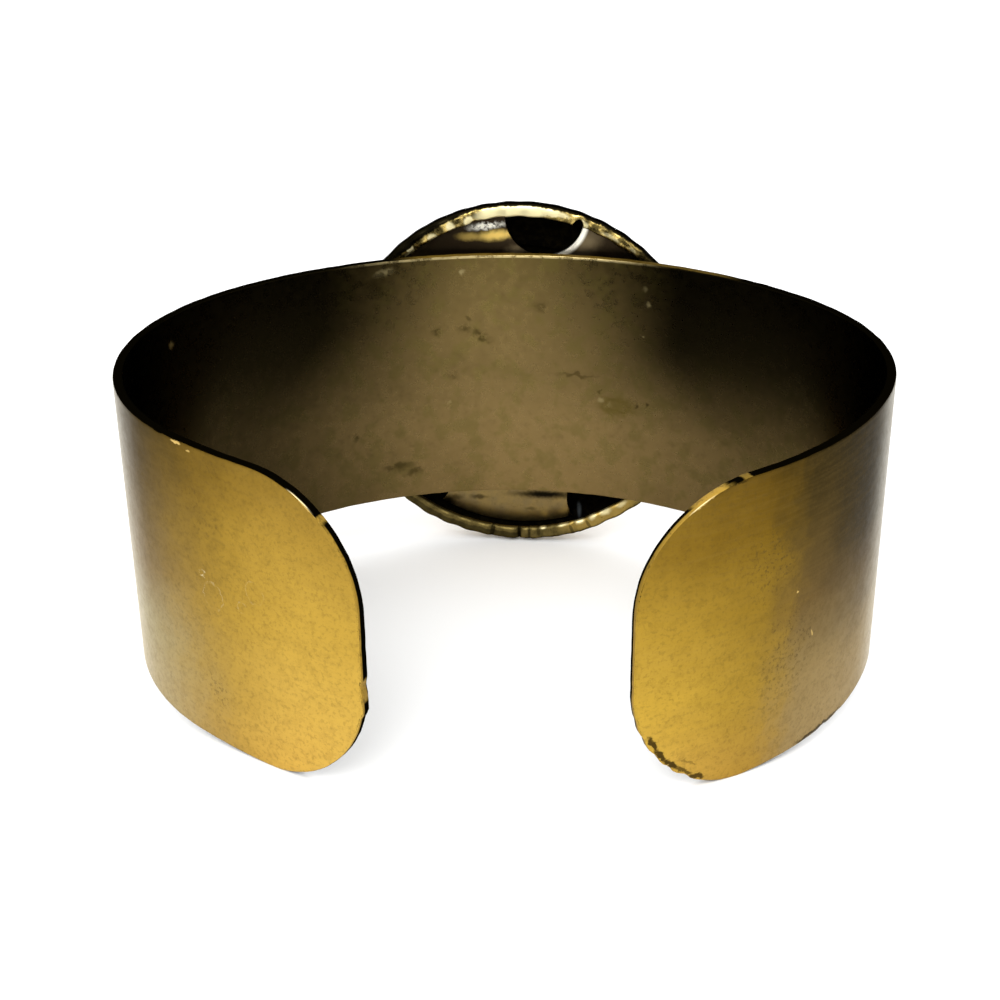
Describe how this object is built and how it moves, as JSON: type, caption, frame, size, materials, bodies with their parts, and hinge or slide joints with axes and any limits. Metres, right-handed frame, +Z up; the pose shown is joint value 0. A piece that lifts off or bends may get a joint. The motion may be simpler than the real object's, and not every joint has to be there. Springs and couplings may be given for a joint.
{
  "type": "cuff bracelet",
  "caption": "Open oval cuff bracelet of sheet brass with rounded ends and a round hollow ornament held to its front by a notched back plate.",
  "frame": {"origin": "middle of the whole box's footprint, on the surface that the cuff lies on", "axes": "+X across the opening, +Y forwards from the wrist to the ornament, +Z up from the surface"},
  "size_m": [0.0642, 0.0618, 0.0364],
  "materials": {
    "band_brass": "brushed, dulled with age",
    "cement": "dull",
    "plate_brass": "polished",
    "shell_brass": "burnished"
  },
  "bodies": {
    "root": {"cuff_band": "band_brass", "cement_pad": "cement", "back_plate": "plate_brass", "ornament_shell": "shell_brass"}
  },
  "joints": []
}
